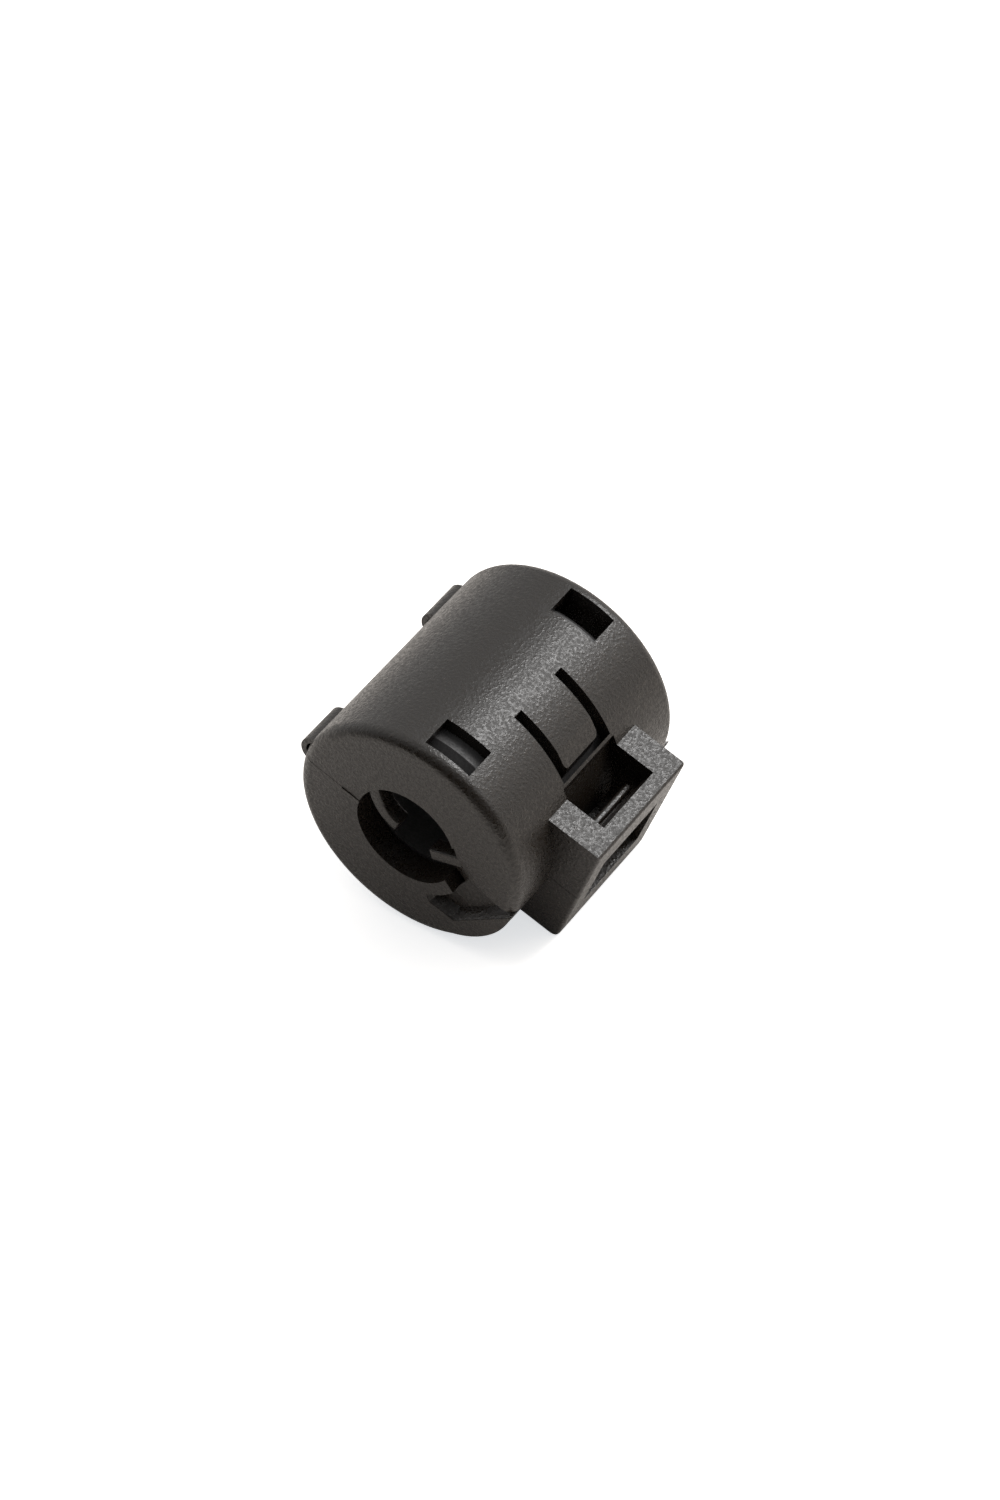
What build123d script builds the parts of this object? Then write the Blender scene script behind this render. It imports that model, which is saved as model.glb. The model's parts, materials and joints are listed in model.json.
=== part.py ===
from build123d import *
import os
from math import acos, atan2, degrees, hypot

# Clip-on ferrite core: a round case of two half shells joined by two living-hinge straps, with half
# a ferrite tube in each shell, closed by a moulded latch box opposite the hinge.
# It is drawn closed, with the bore along Y, the parting plane on XY, the hinge at -X and the latch
# at +X, and is then turned about the bore to lie on the barrel and the latch box's lower edge.
# All sizes are in millimetres, and angles are in degrees from the +X axis towards +Z.

# Ferrite core
core_bore = 8.0
core_diameter = 16.6
core_length = 16.2
core_chamfer = 0.6

# Case walls, grown outwards from the core
core_clearance = 0.1
wall = 1.1
end_wall = 2.0
end_rise = 0.1
mouth_clearance = 0.2
rim_radius = 0.9
parting_gap = 0.05

# Windows over the core's ends
window_width = 3.9
window_length = 2.7
window_inset = 1.05

# Spring tongue in each shell, freed by a U-shaped slot cut along the mould's draw
tongue_width = 4.16
tongue_root = 1.45
tongue_crease = 5.2
tongue_tip = 6.3
tongue_corner = 0.4
tongue_dip = 0.3
slot_width = 0.88
slot_wall = 0.2

# Latch box
box_length = 11.1
box_height = 11.36
box_stand_out = 2.7
box_edge = 0.25
box_foot = 0.7
box_floor = 1.1
bar_thickness = 1.7
bar_lead_in = 0.4
bar_lead_height = 1.5
pocket_width = 6.4
pocket_inset = 2.46
pocket_skin = 0.3
box_window_width = 7.0
box_window_height = 5.1

# Hook that stands in the lower half of the latch box
hook_width = 4.8
hook_thickness = 0.6
hook_rise = 3.7
hook_round = 0.25
hook_gap = 0.27
hook_nose = 0.25
hook_nose_top = 2.2
hook_nose_height = 1.4

# Hinge straps
strap_width = 3.7
strap_inset = 0.85
strap_stand_out = 0.7
strap_thickness = 0.45
strap_curve_radius = 1.3
strap_root_angle = 105.0

# Pry notch at both ends, on the latch side, and the gentle roll of the end wall down to it
notch_depth = 1.5
notch_ring = 1.1
notch_root_inset = 0.55
notch_foot = 4.85
notch_corner = 5.9
roll_radius = 7.0
roll_start = 3.6
lip_offset = 1.85
lip_rise = 0.15

# Sizes that follow from the ones above
core_radius = core_diameter / 2
bore_radius = core_bore / 2
cavity_radius = core_radius + core_clearance
case_radius = cavity_radius + wall
half_core = core_length / 2
half_cavity = half_core + core_clearance
half_barrel = half_cavity + end_wall
outer_end = half_barrel + end_rise
mouth_radius = bore_radius + mouth_clearance
half_gap = parting_gap / 2
half_box = box_height / 2
box_reach = case_radius + box_stand_out
bar_inner = box_reach - bar_thickness
pocket_flat = case_radius - pocket_inset
skin_radius = cavity_radius + pocket_skin
hinge_x = -(case_radius + strap_stand_out)
hook_outer = bar_inner - hook_gap
past = 1.0


def rest_tilt():
    """Turn about the bore that lays the case on its barrel and the latch box's lower edge."""
    edge_x = box_reach - box_foot
    edge_z = box_foot - half_box
    edge_angle = atan2(edge_z, edge_x)
    floor_angle = edge_angle - acos((case_radius - box_foot) / hypot(edge_x, edge_z))
    return 90 + degrees(floor_angle)


def block(low, high, mode=Mode.ADD):
    """Box between two opposite corners."""
    size = [b - a for a, b in zip(low, high)]
    with Locations(Vector(*low)):
        Box(*size, align=(Align.MIN, Align.MIN, Align.MIN), mode=mode)


def barrel():
    """Round barrel with slightly coned ends and rounded rims."""
    with BuildSketch(Plane.XY) as section:
        with BuildLine():
            Polyline(
                (0, -outer_end),
                (mouth_radius, -outer_end),
                (case_radius, -half_barrel),
                (case_radius, half_barrel),
                (mouth_radius, outer_end),
                (0, outer_end),
                close=True,
            )
        make_face()
        fillet(section.vertices().group_by(Axis.X)[-1], rim_radius)
    revolve(section.sketch, axis=Axis.Y)


def latch_block(long_edge):
    """Upper half of the latch box, still solid, with rounded outer edges."""
    with BuildPart(mode=Mode.PRIVATE) as latch:
        with BuildSketch(Plane.XY.offset(half_gap)) as plan:
            Rectangle(box_reach, box_length, align=(Align.MIN, Align.CENTER))
            fillet(plan.vertices().group_by(Axis.X)[-1], box_edge)
        extrude(plan.sketch, amount=half_box - half_gap)
        with BuildSketch(Plane.XZ.offset(-box_length / 2)) as side:
            Rectangle(box_reach, half_box, align=(Align.MIN, Align.MIN))
            fillet(side.vertices().group_by(Axis.Y)[-1].sort_by(Axis.X)[-1], long_edge)
        extrude(side.sketch, amount=box_length, mode=Mode.INTERSECT)
    return latch.part


def windows():
    """Openings over both ends of the core."""
    middle = half_barrel - window_inset - window_length / 2
    with BuildSketch(Plane.XY.offset(bore_radius)) as outline:
        with GridLocations(0, 2 * middle, 1, 2):
            Rectangle(window_width, window_length)
    extrude(outline.sketch, amount=case_radius, mode=Mode.SUBTRACT)


def spring_tongue():
    """U-shaped slot that frees a tongue, whose tip dips in to press on the core."""
    slot_foot = pocket_flat - slot_wall
    half_tongue = tongue_width / 2
    half_slot = half_tongue + slot_width
    with BuildSketch(Plane.XY.offset(bore_radius)) as slot:
        with BuildLine():
            Polyline(
                (tongue_root, half_tongue),
                (tongue_tip, half_tongue),
                (tongue_tip, -half_tongue),
                (tongue_root, -half_tongue),
                (tongue_root, -half_slot),
                (slot_foot, -half_slot),
                (slot_foot, half_slot),
                (tongue_root, half_slot),
                close=True,
            )
        make_face()
        fillet(slot.vertices().group_by(Axis.X)[-2], tongue_corner)
    extrude(slot.sketch, amount=case_radius, mode=Mode.SUBTRACT)
    crease_height = (case_radius**2 - tongue_crease**2) ** 0.5
    tip_height = (case_radius**2 - tongue_tip**2) ** 0.5 - tongue_dip
    with BuildSketch(Plane.XZ.offset(-half_tongue)) as dip:
        with BuildLine():
            Polyline(
                (tongue_crease, crease_height),
                (tongue_tip, tip_height),
                (tongue_tip, case_radius),
                (tongue_crease, case_radius),
                close=True,
            )
        make_face()
    extrude(dip.sketch, amount=tongue_width, mode=Mode.SUBTRACT)


def strap_halves():
    """Upper halves of the two C-shaped hinge straps, cut where they bend."""
    middle_x = hinge_x + strap_curve_radius
    arc_size = 180 - strap_root_angle
    outer_y = half_barrel - strap_inset
    for start_y in (-outer_y, outer_y - strap_width):
        with BuildSketch(Plane.XZ.offset(-start_y - strap_width)) as loop:
            with BuildLine():
                outer = CenterArc((middle_x, 0), strap_curve_radius, strap_root_angle, arc_size)
                inner = CenterArc(
                    (middle_x, 0), strap_curve_radius - strap_thickness, strap_root_angle, arc_size
                )
                Line(outer @ 0, inner @ 0)
                Line(outer @ 1, inner @ 1)
            make_face()
        extrude(loop.sketch, amount=strap_width)


def latch_pocket(*corners):
    """Hollow in the latch box, which leaves a thin skin of barrel in front of the core."""
    with BuildSketch(Plane.XZ.offset(-pocket_width / 2)) as outline:
        with BuildLine():
            Polyline(*corners, close=True)
        make_face()
        Circle(skin_radius, mode=Mode.SUBTRACT)
    extrude(outline.sketch, amount=pocket_width, mode=Mode.SUBTRACT)


def box_window():
    """Window through the outer wall of the latch box."""
    block(
        (bar_inner, -box_window_width / 2, -box_window_height / 2),
        (box_reach + past, box_window_width / 2, box_window_height / 2),
        Mode.SUBTRACT,
    )


def hook():
    """Hook with a rounded top and a nose below the catch bar."""
    back = hook_outer - hook_thickness
    root = box_floor / 2 - half_box
    nose = hook_outer + hook_nose
    with BuildSketch(Plane.XZ.offset(-hook_width / 2)) as side:
        with BuildLine():
            Polyline(
                (back, root),
                (back, hook_rise),
                (hook_outer, hook_rise),
                (hook_outer, hook_nose_top),
                (nose, hook_nose_top),
                (nose, hook_nose_top - hook_nose_height / 2),
                (hook_outer, hook_nose_top - hook_nose_height),
                (hook_outer, root),
                close=True,
            )
        make_face()
        fillet(side.vertices().group_by(Axis.Y)[-1], hook_round)
    extrude(side.sketch, amount=hook_width)


def end_roll(side):
    """What the roll takes off an end wall, from a line slanting to the rim down to the notch's depth."""
    rise = end_rise * (case_radius - hypot(mouth_radius, roll_start)) / (case_radius - mouth_radius)
    start = Vector(mouth_radius, side * (half_barrel + rise), roll_start)
    line = Vector(case_radius, side * half_barrel, 0) - start
    roll_angle = degrees(acos(1 - (notch_depth - end_rise) / roll_radius))
    with BuildPart(mode=Mode.PRIVATE) as gap:
        with BuildSketch(Plane(start, x_dir=Vector(0, 0, side).cross(line), z_dir=line)) as profile:
            with BuildLine():
                roll = CenterArc((-roll_radius, 0), roll_radius, 0, -side * roll_angle)
                Polyline(roll @ 1, (past, (roll @ 1).Y), (past, 0), roll @ 0)
            make_face()
        extrude(profile.sketch, amount=line.length + past)
    return gap.part


def pry_lip(side):
    """Square-edged pad on the end wall, which stands out past the rim beside the notch."""
    lip_radius = case_radius - lip_offset
    with BuildSketch(Plane.XZ.offset(-side * half_cavity)) as outline:
        with Locations((lip_offset, 0)):
            Circle(lip_radius)
        Circle(mouth_radius, mode=Mode.SUBTRACT)
        with Locations((lip_offset, -half_gap)):
            Rectangle(2 * lip_radius, case_radius, align=(Align.CENTER, Align.MIN), mode=Mode.SUBTRACT)
    extrude(outline.sketch, amount=-side * (end_wall + lip_rise))


def notch_ring_block(side):
    """Round block that the notch leaves round the mouth, rolled off in front."""
    with BuildPart(mode=Mode.PRIVATE) as ring:
        with BuildSketch(Plane.XZ.offset(-side * (outer_end + past))) as outline:
            Circle(mouth_radius + notch_ring)
        extrude(outline.sketch, amount=side * (notch_depth + past))
        add(end_roll(side), mode=Mode.SUBTRACT)
    return ring.part


def pry_notch(side):
    """Pocket in the end wall, from the ring round the mouth to a slanted outer wall."""
    with BuildPart(mode=Mode.PRIVATE) as notch:
        with BuildSketch(Plane.XZ.offset(-side * (outer_end + past))) as outline:
            with BuildLine():
                Polyline(
                    (0, 0),
                    (mouth_radius - notch_root_inset, -notch_foot),
                    (notch_corner, -notch_foot),
                    (case_radius, 0),
                    close=True,
                )
            make_face()
        extrude(outline.sketch, amount=side * (notch_depth + past))
        add(notch_ring_block(side), mode=Mode.SUBTRACT)
    return notch.part


def half_shell(long_edge):
    """What both half shells share, drawn as the upper one."""
    with BuildPart(mode=Mode.PRIVATE) as half:
        barrel()
        split(bisect_by=Plane.XY.offset(half_gap), keep=Keep.TOP)
        add(latch_block(long_edge))
        Cylinder(cavity_radius, 2 * half_cavity, rotation=(90, 0, 0), mode=Mode.SUBTRACT)
        Cylinder(mouth_radius, 2 * (outer_end + past), rotation=(90, 0, 0), mode=Mode.SUBTRACT)
        windows()
        spring_tongue()
        strap_halves()
    return half.part


# Upper shell: the pocket is open at its top, so that a key can reach the hook
with BuildPart() as upper_shell:
    add(half_shell(box_edge))
    latch_pocket(
        (pocket_flat, 0),
        (bar_inner, 0),
        (bar_inner, half_box - bar_lead_height),
        (bar_inner + bar_lead_in, half_box),
        (bar_inner + bar_lead_in, case_radius),
        (pocket_flat, case_radius),
    )
    box_window()
    for side in (-1, 1):
        add(end_roll(side), mode=Mode.SUBTRACT)

# Lower shell: the pocket has a floor, and the hook stands on it
with BuildPart() as lower_shell:
    mirror(half_shell(box_foot), about=Plane.XY)
    pocket_bottom = box_floor - half_box
    latch_pocket(
        (pocket_flat, 0), (bar_inner, 0), (bar_inner, pocket_bottom), (pocket_flat, pocket_bottom)
    )
    box_window()
    hook()
    for side in (-1, 1):
        pry_lip(side)
        add(pry_notch(side), mode=Mode.SUBTRACT)

# Ferrite halves
with BuildPart() as upper_core:
    Cylinder(core_radius, core_length, rotation=(90, 0, 0))
    chamfer(upper_core.edges().filter_by(GeomType.CIRCLE), core_chamfer)
    Cylinder(bore_radius, core_length, rotation=(90, 0, 0), mode=Mode.SUBTRACT)
    split(bisect_by=Plane.XY.offset(half_gap), keep=Keep.TOP)

with BuildPart() as lower_core:
    mirror(upper_core.part, about=Plane.XY)

# Every piece is turned into the position that the case rests in, and written
os.makedirs("parts", exist_ok=True)
pieces = {
    "lower_shell": lower_shell,
    "upper_shell": upper_shell,
    "lower_core": lower_core,
    "upper_core": upper_core,
}
for name, piece in pieces.items():
    with BuildPart() as laid:
        add(piece.part, rotation=(0, rest_tilt(), 0))
    laid.part.label = name
    export_step(laid.part, f"parts/{name}.step")
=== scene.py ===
import json
from math import atan2, cos, radians, sin

import bmesh
import bpy
from mathutils import Matrix, Vector


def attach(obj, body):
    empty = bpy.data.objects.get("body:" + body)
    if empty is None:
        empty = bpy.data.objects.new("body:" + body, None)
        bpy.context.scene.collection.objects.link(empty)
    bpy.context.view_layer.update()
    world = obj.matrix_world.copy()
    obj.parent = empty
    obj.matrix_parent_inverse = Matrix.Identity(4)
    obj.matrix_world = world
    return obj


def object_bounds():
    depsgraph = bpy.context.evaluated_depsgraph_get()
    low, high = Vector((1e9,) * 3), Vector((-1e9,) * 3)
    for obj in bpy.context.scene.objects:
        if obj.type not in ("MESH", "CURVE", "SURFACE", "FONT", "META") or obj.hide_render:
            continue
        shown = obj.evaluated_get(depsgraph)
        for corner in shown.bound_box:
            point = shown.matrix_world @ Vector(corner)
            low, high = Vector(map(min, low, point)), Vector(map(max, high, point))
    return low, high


# A clip-on ferrite core in moulded plastic, seen from above its near end.
# Places are in metres, in the frame of the CAD model: the bore runs along Y and +Z is up.

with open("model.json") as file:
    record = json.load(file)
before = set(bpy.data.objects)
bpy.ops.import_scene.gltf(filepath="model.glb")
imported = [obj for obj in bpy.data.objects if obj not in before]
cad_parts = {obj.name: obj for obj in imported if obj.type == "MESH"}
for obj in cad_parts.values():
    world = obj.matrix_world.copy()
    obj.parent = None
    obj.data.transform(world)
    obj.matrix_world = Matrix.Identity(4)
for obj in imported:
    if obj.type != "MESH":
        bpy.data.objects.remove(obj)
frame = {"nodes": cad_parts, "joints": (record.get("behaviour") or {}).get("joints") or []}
cad_low, cad_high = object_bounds()

MM = 0.001

# Turn about the bore between the drawing's own axes, with the parting plane level, and the frame
hinge = next(joint for joint in frame["joints"] if joint["name"] == "case_hinge")
hinge_place = Vector(hinge["pos_m"])
REST_TILT = atan2(hinge_place.z, -hinge_place.x)
laid = Matrix.Rotation(REST_TILT, 4, "Y")

# Fins in the mouths, in millimetres: the middle of each along the bore, and its root, bend and tip
# across it. Edges that turn by more than the sharp angle are rounded.
FIN_THICK = 0.95
FIN_WIDTH = 1.3
FIN_MIDDLE = 9.4
FIN_STEPS = 12
FIN_ROUND = 0.12
ROUND_STEPS = 2
SHARP_ANGLE = radians(50)
FINS = {
    "left": ((-3.9, 2.2), (-2.8, -0.1), (-0.95, -0.15)),
    "right": ((4.35, 1.15), (3.25, 0.45), (2.1, -0.3)),
}

# Lining of the pry notch, in millimetres: the ring that it goes round, the top and the foot of its
# sloped walls, and where its rim, floor and underside lie along the bore
RING_RADIUS = 5.3
RING_STEPS = 8
LINING_TOP = ((3.187, -4.235), (3.65, -4.85), (5.9, -4.85), (9.44, -0.08))
LINING_FOOT = ((3.571, -3.916), (3.9, -4.35), (5.65, -4.35), (8.82, -0.08))
LINING_RIM = 10.3
LINING_FLOOR = 9.4
LINING_UNDER = 8.8

# Parting faces of the walls, in millimetres, as outlines in the parting plane
SEAM_THICK = 0.05
SEAMS = {
    "hinge": (
        (-4.3, -10.0), (-9.35, -9.3), (-9.35, 9.3), (-4.3, 10.0),
        (-4.3, 8.35), (-8.45, 8.35), (-8.45, -8.35), (-4.3, -8.35),
    ),
    "latch": (
        (4.3, -8.75), (9.35, -8.75), (9.35, 8.75), (4.3, 8.75),
        (4.3, 8.35), (8.45, 8.35), (8.45, -8.35), (4.3, -8.35),
    ),
}

# Materials: black plastic from a spark-eroded mould, whose fine grain glitters, and dark grey sintered
# ferrite. For each: how fine the grain's noise is, in cells per metre, the colours and the roughness
# that it gives along its own range, and the strength and depth of its bump.
GRAIN_DETAIL = 2.0
GRAIN_ROUGHNESS = 0.6
PLASTIC = {
    "fineness": 4000.0,
    "colours": [
        (0.35, (0.0100, 0.0072, 0.0050)),
        (0.62, (0.0130, 0.0094, 0.0066)),
        (0.74, (0.026, 0.020, 0.015)),
    ],
    "roughness": [(0.40, 0.48), (0.62, 0.23)],
    "strength": 1.0,
    "depth": 0.05 * MM,
}
FERRITE = {
    "fineness": 6000.0,
    "colours": [(0.3, (0.032, 0.031, 0.031)), (0.75, (0.060, 0.058, 0.058))],
    "roughness": [(0.3, 0.62), (0.7, 0.42)],
    "strength": 0.4,
    "depth": 0.01 * MM,
}

# Camera, fitted to the photograph's outlines: its place and directions in the drawing's axes, and
# its lens
IMAGE_HEIGHT = 1500
FOCAL_PIXELS = 4385.45
SENSOR_MM = 36.0
NEAREST_SEEN = 0.01
CAMERA_PLACE = Vector((0.0436, -0.1773, 0.2592))
CAMERA_RIGHT = Vector((0.7845, 0.5627, 0.2562))
CAMERA_FORWARD = Vector((-0.1348, 0.5593, -0.8151))

# Floor: how far it reaches and where it ends in front, its surface, and the colour of its glow and
# how much each kind of ray sees of that
FLOOR_REACH = 2.0
FLOOR_FRONT = -0.11
FLOOR_COLOUR = (0.94, 0.88, 0.82)
FLOOR_ROUGHNESS = 0.9
FLOOR_SPECULAR = 0.1
GLOW_COLOUR = (0.95, 0.975, 1.0)
GLOW_SEEN = {"Is Camera Ray": 0.7, "Is Glossy Ray": 0.05, "Is Transmission Ray": 0.7}

# Room round the part: where its lit side lies, and how its level rises from dark to lit with the
# cosine of the angle between a direction and that side
LIT_SIDE = Vector((-0.42, 0.85, 0.32)).normalized()
ROOM = {"From Min": -0.6, "From Max": 0.4, "To Min": 0.03, "To Max": 0.9}

# Lamps: place, size, power in watts and colour
LAMPS = {
    "overhead": ((0.17, 0.30, 0.45), (0.17, 0.34), 2.0, (1.0, 1.0, 1.0)),
    "side": ((0.40, 0.33, 0.30), (0.30, 0.30), 0.25, (1.0, 0.9, 0.8)),
}


def make_camera():
    """Camera at the photograph's viewing angle."""
    data = bpy.data.cameras.new("camera")
    data.sensor_fit = "VERTICAL"
    data.sensor_height = SENSOR_MM
    data.lens = FOCAL_PIXELS / IMAGE_HEIGHT * SENSOR_MM
    data.clip_start = NEAREST_SEEN
    camera = bpy.data.objects.new("camera", data)
    bpy.context.scene.collection.objects.link(camera)
    back = -CAMERA_FORWARD.normalized()
    right = (CAMERA_RIGHT - back * CAMERA_RIGHT.dot(back)).normalized()
    up = back.cross(right)
    turn = Matrix((right, up, back)).transposed().to_4x4()
    camera.matrix_world = laid @ Matrix.Translation(CAMERA_PLACE) @ turn
    bpy.context.scene.camera = camera


def make_world():
    """World that the camera sees as white, and that reflects as a room with one lit side."""
    world = bpy.data.worlds.new("studio")
    world.use_nodes = True
    tree = world.node_tree
    background = tree.nodes["Background"]
    background.inputs["Color"].default_value = (1, 1, 1, 1)
    coordinates = tree.nodes.new("ShaderNodeTexCoord")
    facing = tree.nodes.new("ShaderNodeVectorMath")
    facing.operation = "DOT_PRODUCT"
    facing.inputs[1].default_value = LIT_SIDE
    tree.links.new(coordinates.outputs["Generated"], facing.inputs[0])
    room = tree.nodes.new("ShaderNodeMapRange")
    room.interpolation_type = "SMOOTHSTEP"
    for socket, value in ROOM.items():
        room.inputs[socket].default_value = value
    tree.links.new(facing.outputs["Value"], room.inputs["Value"])
    path = tree.nodes.new("ShaderNodeLightPath")
    seen = tree.nodes.new("ShaderNodeMath")
    seen.operation = "MAXIMUM"
    tree.links.new(path.outputs["Is Camera Ray"], seen.inputs[0])
    tree.links.new(path.outputs["Is Transmission Ray"], seen.inputs[1])
    mix = tree.nodes.new("ShaderNodeMix")
    mix.inputs["B"].default_value = 1.0
    tree.links.new(room.outputs["Result"], mix.inputs["A"])
    tree.links.new(seen.outputs["Value"], mix.inputs["Factor"])
    tree.links.new(mix.outputs["Result"], background.inputs["Strength"])
    bpy.context.scene.world = world


def make_lamp(name, place, size, power, colour):
    """Soft rectangular lamp that looks at the object from a place."""
    data = bpy.data.lights.new(name, "AREA")
    data.shape = "RECTANGLE"
    data.size, data.size_y = size
    data.energy = power
    data.color = colour
    lamp = bpy.data.objects.new(name, data)
    bpy.context.scene.collection.objects.link(lamp)
    lamp.location = place
    lamp.rotation_euler = (-lamp.location).to_track_quat("-Z", "Y").to_euler()


def new_material(name):
    """Empty node material, its node tree and its shader."""
    material = bpy.data.materials.new(name)
    material.use_nodes = True
    tree = material.node_tree
    return material, tree, tree.nodes["Principled BSDF"]


def make_floor():
    """Pale floor that the camera sees as white, and that keeps the object's shadow."""
    mesh = bpy.data.meshes.new("floor")
    corners = [
        (-FLOOR_REACH, FLOOR_FRONT, 0),
        (FLOOR_REACH, FLOOR_FRONT, 0),
        (FLOOR_REACH, FLOOR_REACH, 0),
        (-FLOOR_REACH, FLOOR_REACH, 0),
    ]
    mesh.from_pydata(corners, [], [(0, 1, 2, 3)])
    floor = bpy.data.objects.new("floor", mesh)
    floor.location.z = cad_low[2]
    bpy.context.scene.collection.objects.link(floor)
    material, tree, shader = new_material("floor")
    shader.inputs["Base Color"].default_value = (*FLOOR_COLOUR, 1)
    shader.inputs["Roughness"].default_value = FLOOR_ROUGHNESS
    shader.inputs["Specular IOR Level"].default_value = FLOOR_SPECULAR
    shader.inputs["Emission Color"].default_value = (*GLOW_COLOUR, 1)
    path = tree.nodes.new("ShaderNodeLightPath")
    strength = None
    for ray, level in GLOW_SEEN.items():
        glow = tree.nodes.new("ShaderNodeMath")
        glow.operation = "MULTIPLY_ADD"
        glow.inputs[1].default_value = level
        glow.inputs[2].default_value = 0
        tree.links.new(path.outputs[ray], glow.inputs[0])
        if strength:
            tree.links.new(strength, glow.inputs[2])
        strength = glow.outputs["Value"]
    tree.links.new(strength, shader.inputs["Emission Strength"])
    mesh.materials.append(material)


def noise(tree, fineness):
    """Value of a noise in the object's own coordinates."""
    coordinates = tree.nodes.new("ShaderNodeTexCoord")
    node = tree.nodes.new("ShaderNodeTexNoise")
    node.inputs["Scale"].default_value = fineness
    node.inputs["Detail"].default_value = GRAIN_DETAIL
    node.inputs["Roughness"].default_value = GRAIN_ROUGHNESS
    tree.links.new(coordinates.outputs["Object"], node.inputs["Vector"])
    return node.outputs["Fac"]


def ramp(tree, source, stops):
    """Colour ramp over a value, from a list of (place, colour)."""
    node = tree.nodes.new("ShaderNodeValToRGB")
    elements = node.color_ramp.elements
    while len(elements) < len(stops):
        elements.new(0.5)
    for element, (place, colour) in zip(elements, stops):
        element.position = place
        element.color = (*colour, 1.0)
    tree.links.new(source, node.inputs["Fac"])
    return node.outputs["Color"]


def bump(tree, height, strength, depth):
    """Normal of a surface that a height raises by up to a depth."""
    node = tree.nodes.new("ShaderNodeBump")
    node.inputs["Strength"].default_value = strength
    node.inputs["Distance"].default_value = depth
    tree.links.new(height, node.inputs["Height"])
    return node.outputs["Normal"]


def grained(name, fineness, colours, roughness, strength, depth):
    """Material whose fine grain varies its colour and its gloss and stands up a little."""
    material, tree, shader = new_material(name)
    grain = noise(tree, fineness)
    greys = [(place, (level,) * 3) for place, level in roughness]
    tree.links.new(ramp(tree, grain, colours), shader.inputs["Base Color"])
    tree.links.new(ramp(tree, grain, greys), shader.inputs["Roughness"])
    tree.links.new(bump(tree, grain, strength, depth), shader.inputs["Normal"])
    return material


def dress(node, material):
    """Gives a CAD node its material."""
    mesh = frame["nodes"][node].data
    if not mesh.materials:
        mesh.materials.append(material)
    for index in range(len(mesh.materials)):
        mesh.materials[index] = material


def make_piece(name, mesh, material, body):
    """Object from a mesh in the making, with its material, which rides on a body."""
    bmesh.ops.recalc_face_normals(mesh, faces=mesh.faces)
    data = bpy.data.meshes.new(name)
    mesh.to_mesh(data)
    mesh.free()
    data.materials.append(material)
    piece = bpy.data.objects.new(name, data)
    bpy.context.scene.collection.objects.link(piece)
    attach(piece, body)
    return piece


def row(mesh, places):
    """Corners from places in millimetres in the drawing's axes, laid as the part lies."""
    return [mesh.verts.new(laid @ (Vector(place) * MM)) for place in places]


def skirt(mesh, above, below):
    """Faces between two rows of corners."""
    for index in range(len(above) - 1):
        mesh.faces.new((above[index], above[index + 1], below[index + 1], below[index]))


def prism(places, shift):
    """Mesh of an outline extruded by a shift."""
    mesh = bmesh.new()
    near = row(mesh, places)
    far = row(mesh, [Vector(place) + Vector(shift) for place in places])
    mesh.faces.new(near)
    mesh.faces.new(far)
    skirt(mesh, near + near[:1], far + far[:1])
    return mesh


def curved_strip(root, bend, tip):
    """Outline of a fin, of one thickness, on a smooth curve from root to tip, pulled towards bend."""
    near = []
    far = []
    for step in range(FIN_STEPS + 1):
        share = step / FIN_STEPS
        place = root * (1 - share) ** 2 + bend * (2 * share * (1 - share)) + tip * share**2
        along = (bend - root) * (1 - share) + (tip - bend) * share
        across = Vector((-along.y, along.x)).normalized() * (FIN_THICK / 2)
        near.append(place + across)
        far.append(place - across)
    return near + far[::-1]


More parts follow.
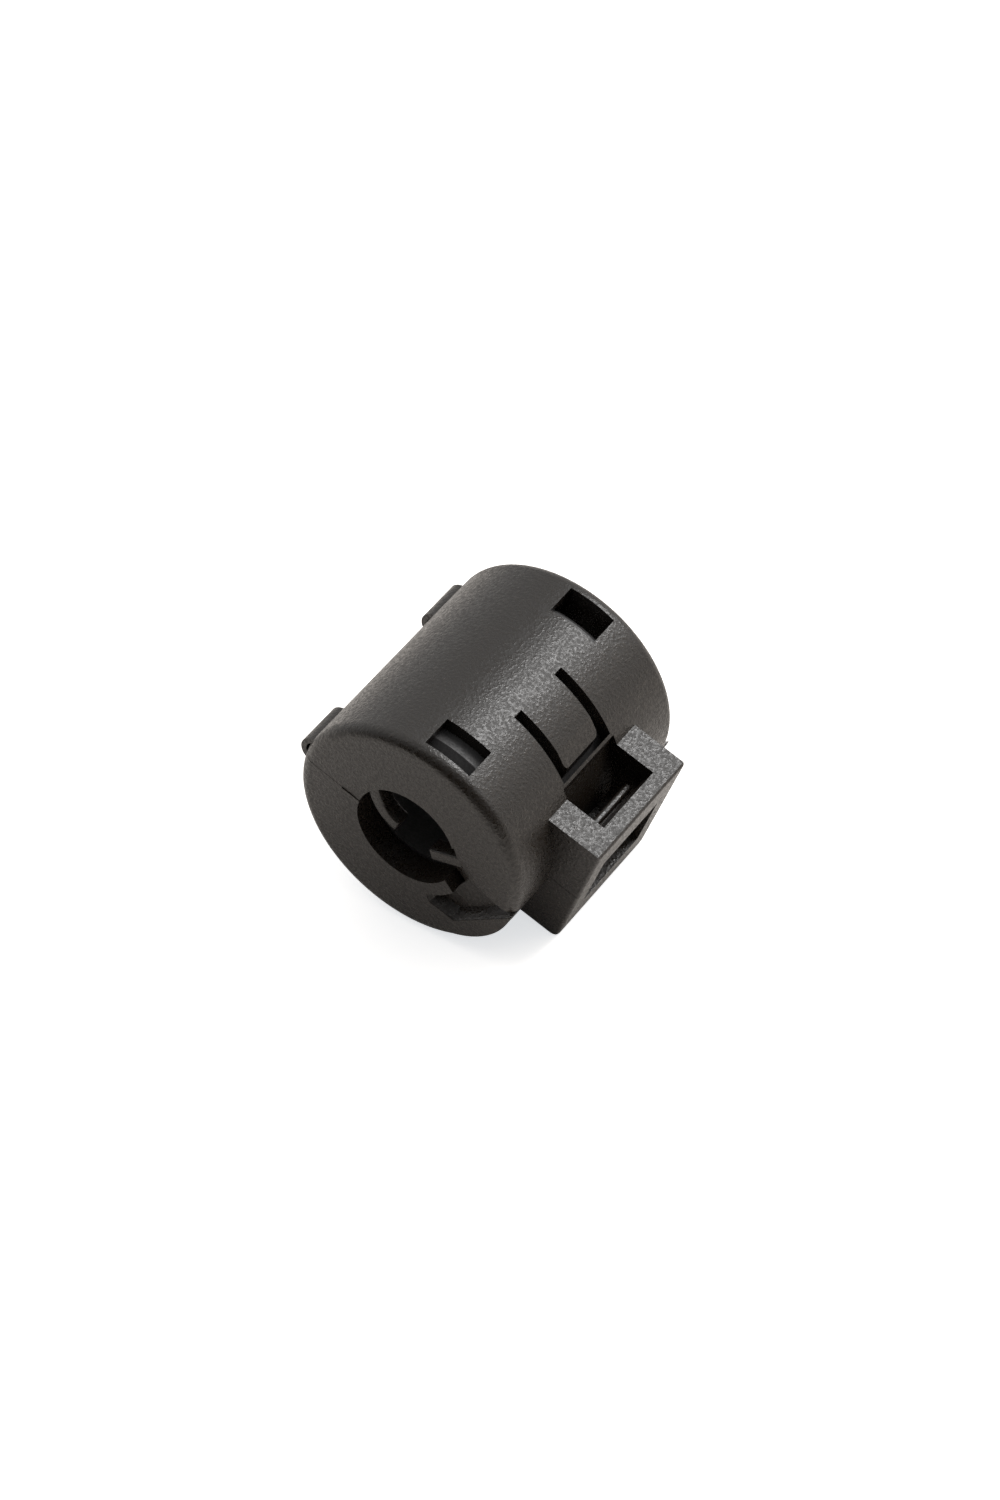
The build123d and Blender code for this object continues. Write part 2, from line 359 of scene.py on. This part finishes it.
def make_fin(name, root, bend, tip, side, material):
    """Curved fin in a mouth, which springs on to the cable."""
    start = side * FIN_MIDDLE - FIN_WIDTH / 2
    outline = [(x, start, z) for x, z in curved_strip(Vector(root), Vector(bend), Vector(tip))]
    fin = make_piece(name, prism(outline, (0, FIN_WIDTH, 0)), material, "upper_half")
    rounding = fin.modifiers.new("rounding", "BEVEL")
    rounding.width = FIN_ROUND * MM
    rounding.segments = ROUND_STEPS
    rounding.angle_limit = SHARP_ANGLE
    for face in fin.data.polygons:
        face.use_smooth = True


def make_lining(name, side, material):
    """Shallow floor and sloped walls of a pry notch."""
    first = atan2(LINING_FOOT[-1][1], RING_RADIUS)
    last = atan2(LINING_FOOT[0][1], LINING_FOOT[0][0])
    angles = [first + (last - first) * step / RING_STEPS for step in range(RING_STEPS + 1)]
    arc = [(RING_RADIUS * cos(angle), RING_RADIUS * sin(angle)) for angle in angles]
    mesh = bmesh.new()

    def level(places, y):
        return row(mesh, [(x, side * y, z) for x, z in places])

    rim = level(LINING_TOP, LINING_RIM)
    base = level(LINING_TOP, LINING_UNDER)
    foot = level(LINING_FOOT, LINING_FLOOR)
    ring = level(arc[:-1], LINING_FLOOR)
    inner = level(arc, LINING_UNDER)
    mesh.faces.new(foot + ring)
    mesh.faces.new(base + inner)
    skirt(mesh, rim, foot)
    skirt(mesh, rim, base)
    skirt(mesh, ring + foot[:1], inner)
    mesh.faces.new((rim[0], foot[0], inner[-1], base[0]))
    mesh.faces.new((rim[-1], foot[-1], ring[0], inner[0], base[-1]))
    make_piece(name, mesh, material, "lower_half")


def make_seam(name, outline, material):
    """Parting face of a wall, which meets the other shell and closes the hairline between them."""
    places = [(x, y, -SEAM_THICK / 2) for x, y in outline]
    make_piece(name, prism(places, (0, 0, SEAM_THICK)), material, "lower_half")


make_camera()
make_world()
make_floor()
for name, settings in LAMPS.items():
    make_lamp(name, *settings)

plastic = grained("case_plastic", **PLASTIC)
stone = grained("ferrite", **FERRITE)
for half in ("upper", "lower"):
    dress(f"{half}_shell", plastic)
    dress(f"{half}_core", stone)

for end, side in (("near", -1), ("far", 1)):
    for name, places in FINS.items():
        make_fin(f"fin_{end}_{name}", *places, side, plastic)
    make_lining(f"notch_{end}", side, plastic)
for name, outline in SEAMS.items():
    make_seam(f"seam_{name}", outline, plastic)

bpy.context.scene.view_settings.view_transform = "Standard"
